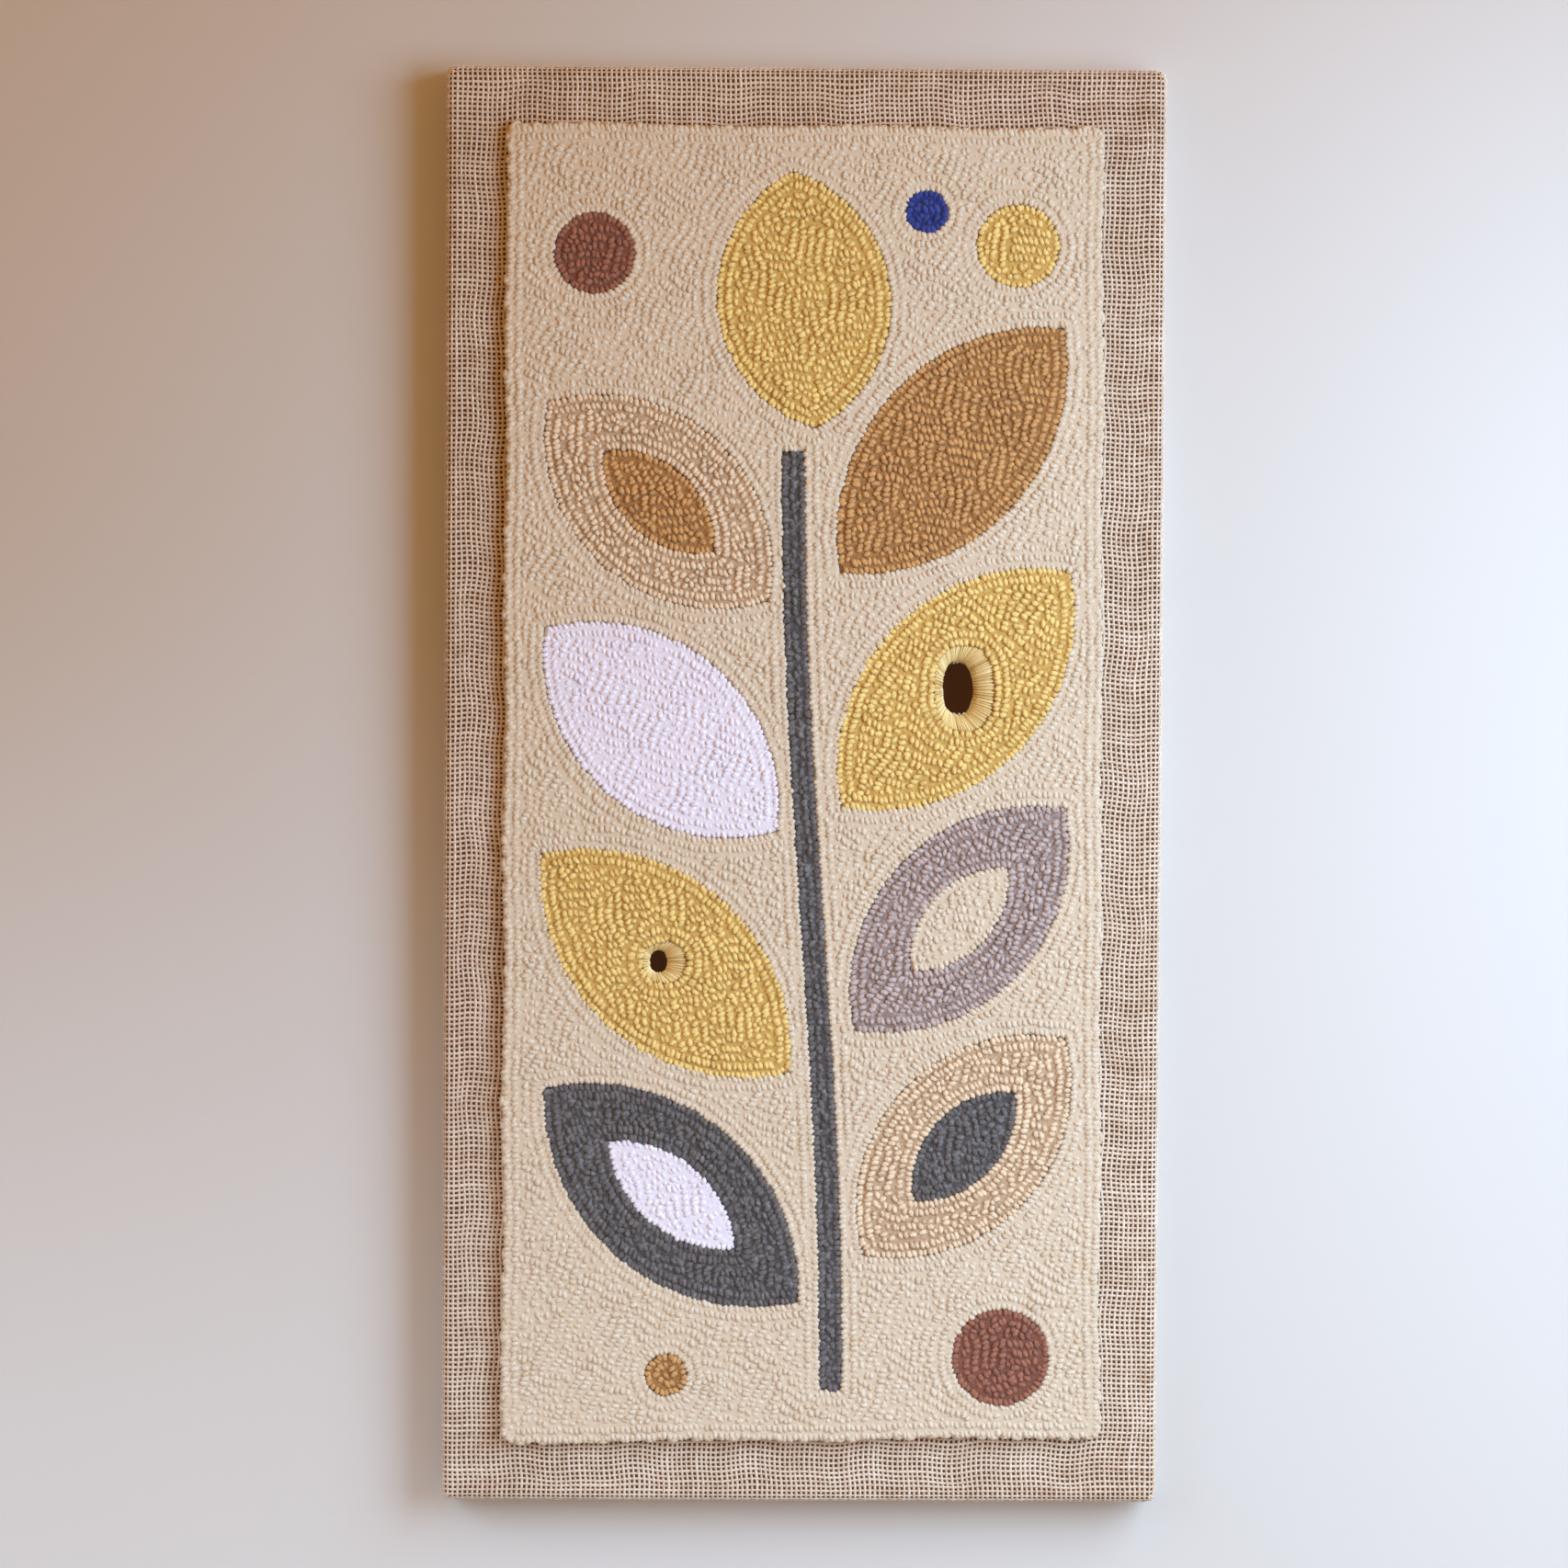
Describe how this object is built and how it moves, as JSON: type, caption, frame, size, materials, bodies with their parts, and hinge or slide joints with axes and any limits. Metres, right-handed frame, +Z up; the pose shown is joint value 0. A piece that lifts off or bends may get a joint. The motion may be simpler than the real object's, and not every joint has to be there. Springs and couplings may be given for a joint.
{
  "type": "punch needle wall piece stretched on a wooden frame",
  "caption": "Tall wall piece of looped yarn with a leafy sprig and worked eyelets, on open-weave linen stretched over a wooden frame.",
  "frame": {"origin": "middle of the underside of the top stretcher bar, where a hook or nail bears", "axes": "+Z up, the worked front faces -Y, the wall is at +Y, and +X is to the right of someone who looks at the front"},
  "size_m": [0.3, 0.0273, 0.6],
  "materials": {
    "linen": "matte open plain weave of unbleached thread",
    "pine": "planed and unvarnished",
    "thread_pale": "fine pale yellow overcast thread with a slight lustre",
    "yarn_cream": "matte plied wool in low loops",
    "yarn_yellow": "matte plied wool in low loops",
    "yarn_ochre": "matte plied wool in low loops",
    "yarn_tan": "matte plied wool in low loops",
    "yarn_lilac": "matte plied wool in low loops",
    "yarn_mauve": "matte heathered wool in low loops",
    "yarn_charcoal": "matte heathered wool in low loops",
    "yarn_brown": "matte plied wool in low loops",
    "yarn_blue": "matte plied wool in low loops"
  },
  "bodies": {
    "root": {"stretcher_top": "pine", "stretcher_right": "pine", "stretcher_bottom": "pine", "stretcher_left": "pine", "ground_cloth": "linen", "pile_ground": "yarn_cream", "stem": "yarn_charcoal", "leaf_top": "yarn_yellow", "leaf_right_4": "yarn_ochre", "leaf_left_4": "yarn_tan", "leaf_right_3": "yarn_yellow", "leaf_left_3": "yarn_lilac", "leaf_right_2": "yarn_mauve", "leaf_left_2": "yarn_yellow", "leaf_right_1": "yarn_tan", "leaf_left_1": "yarn_charcoal", "heart_left_4": "yarn_ochre", "heart_right_2": "yarn_cream", "heart_right_1": "yarn_charcoal", "heart_left_1": "yarn_lilac", "berry_top_left": "yarn_brown", "berry_top_right": "yarn_yellow", "bud_top": "yarn_blue", "berry_foot": "yarn_brown", "bud_foot": "yarn_ochre", "eyelet_large": "thread_pale", "eyelet_small": "thread_pale"}
  },
  "joints": []
}
